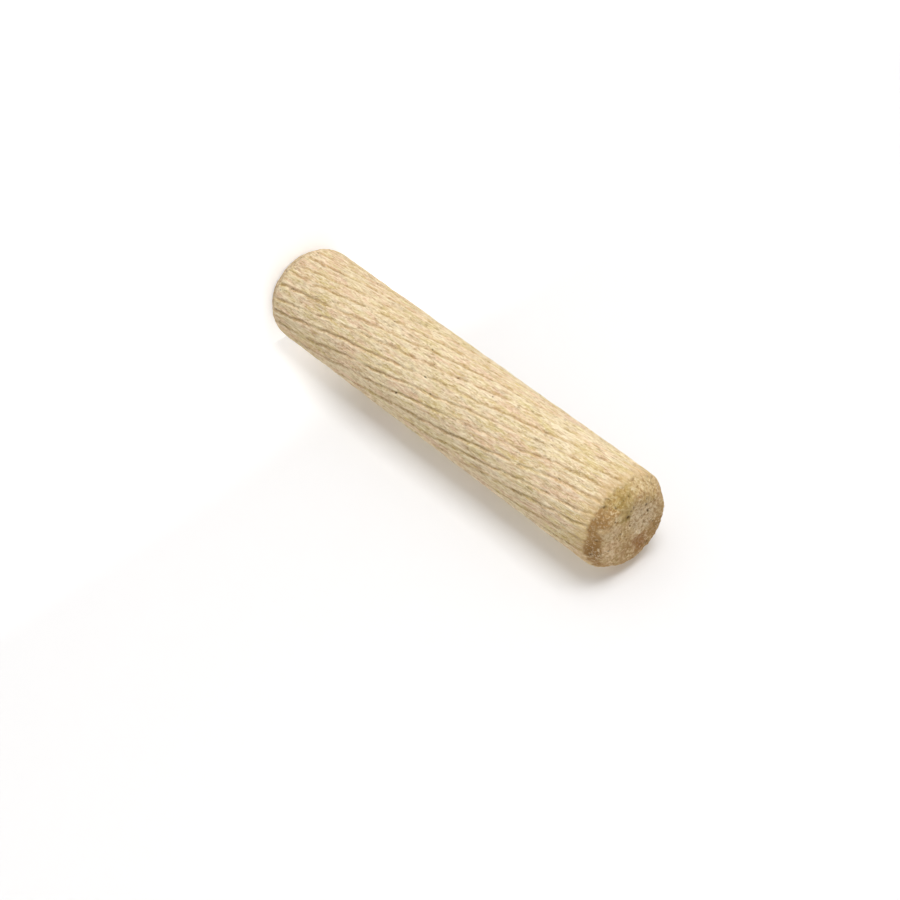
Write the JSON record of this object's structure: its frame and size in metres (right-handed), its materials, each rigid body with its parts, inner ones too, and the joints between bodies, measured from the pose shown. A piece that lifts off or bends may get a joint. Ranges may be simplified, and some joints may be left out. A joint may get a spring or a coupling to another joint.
{
  "type": "dowel pin",
  "caption": "Short round wooden rod with a chamfer at each end and narrow helical flutes along its side, for gluing into drilled holes.",
  "frame": {"origin": "centre of the lower end face, on which the pin stands", "axes": "+Z along the pin's axis, from the lower end face to the upper one; +X and +Y lie in the end face, with a flute's root on +X one millimetre below the lower end face"},
  "size_m": [0.01, 0.01, 0.048],
  "materials": {
    "bare_wood": "bare, matt, unsanded hardwood with a pale straw colour"
  },
  "bodies": {
    "root": {"dowel_pin": "bare_wood"}
  },
  "joints": []
}
